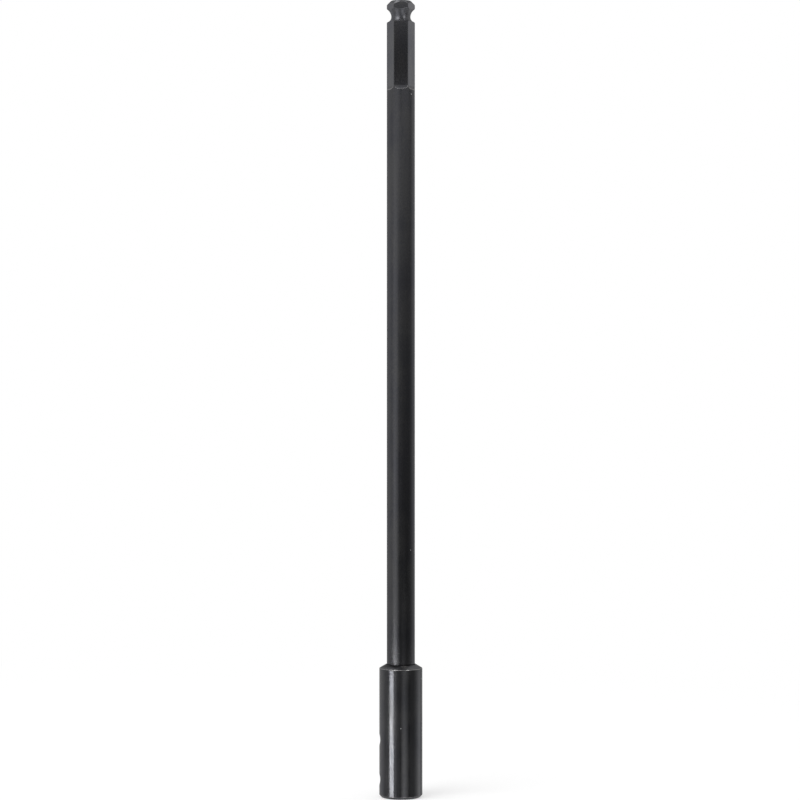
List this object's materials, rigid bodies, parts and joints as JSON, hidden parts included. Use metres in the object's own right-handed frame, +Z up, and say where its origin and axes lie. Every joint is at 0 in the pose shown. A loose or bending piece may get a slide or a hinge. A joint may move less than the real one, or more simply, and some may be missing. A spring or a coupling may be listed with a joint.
{
  "type": "bit extension",
  "caption": "Long round steel bar with a grooved hex shank at one end and a hex socket with set screws at the other, which extends a drill bit's reach.",
  "frame": {"origin": "centre of the socket mouth, in the plane of the mouth", "axes": "+Z up the tool's axis from the socket mouth to the shank end; flats of the shank face +Y and -Y; the set screws enter the socket from -X"},
  "size_m": [0.0164, 0.0164, 0.305],
  "materials": {
    "bar_steel": "black oxide, satin, fine drawn grain along the bar",
    "socket_steel": "black oxide, satin, fine turning marks, edges worn brighter",
    "screw_steel": "black oxide, threaded"
  },
  "bodies": {
    "extension": {"shaft": "bar_steel", "socket": "socket_steel"},
    "upper_set_screw": {"set_screw_upper": "screw_steel"},
    "lower_set_screw": {"set_screw_lower": "screw_steel"}
  },
  "joints": [
    {"name": "upper_screw_travel", "type": "slide", "parent": "extension", "child": "upper_set_screw", "axis": [1, 0, 0], "range_m": [-0.0014, 0.0012]},
    {"name": "lower_screw_travel", "type": "slide", "parent": "extension", "child": "lower_set_screw", "axis": [1, 0, 0], "range_m": [-0.0014, 0.0012]}
  ]
}
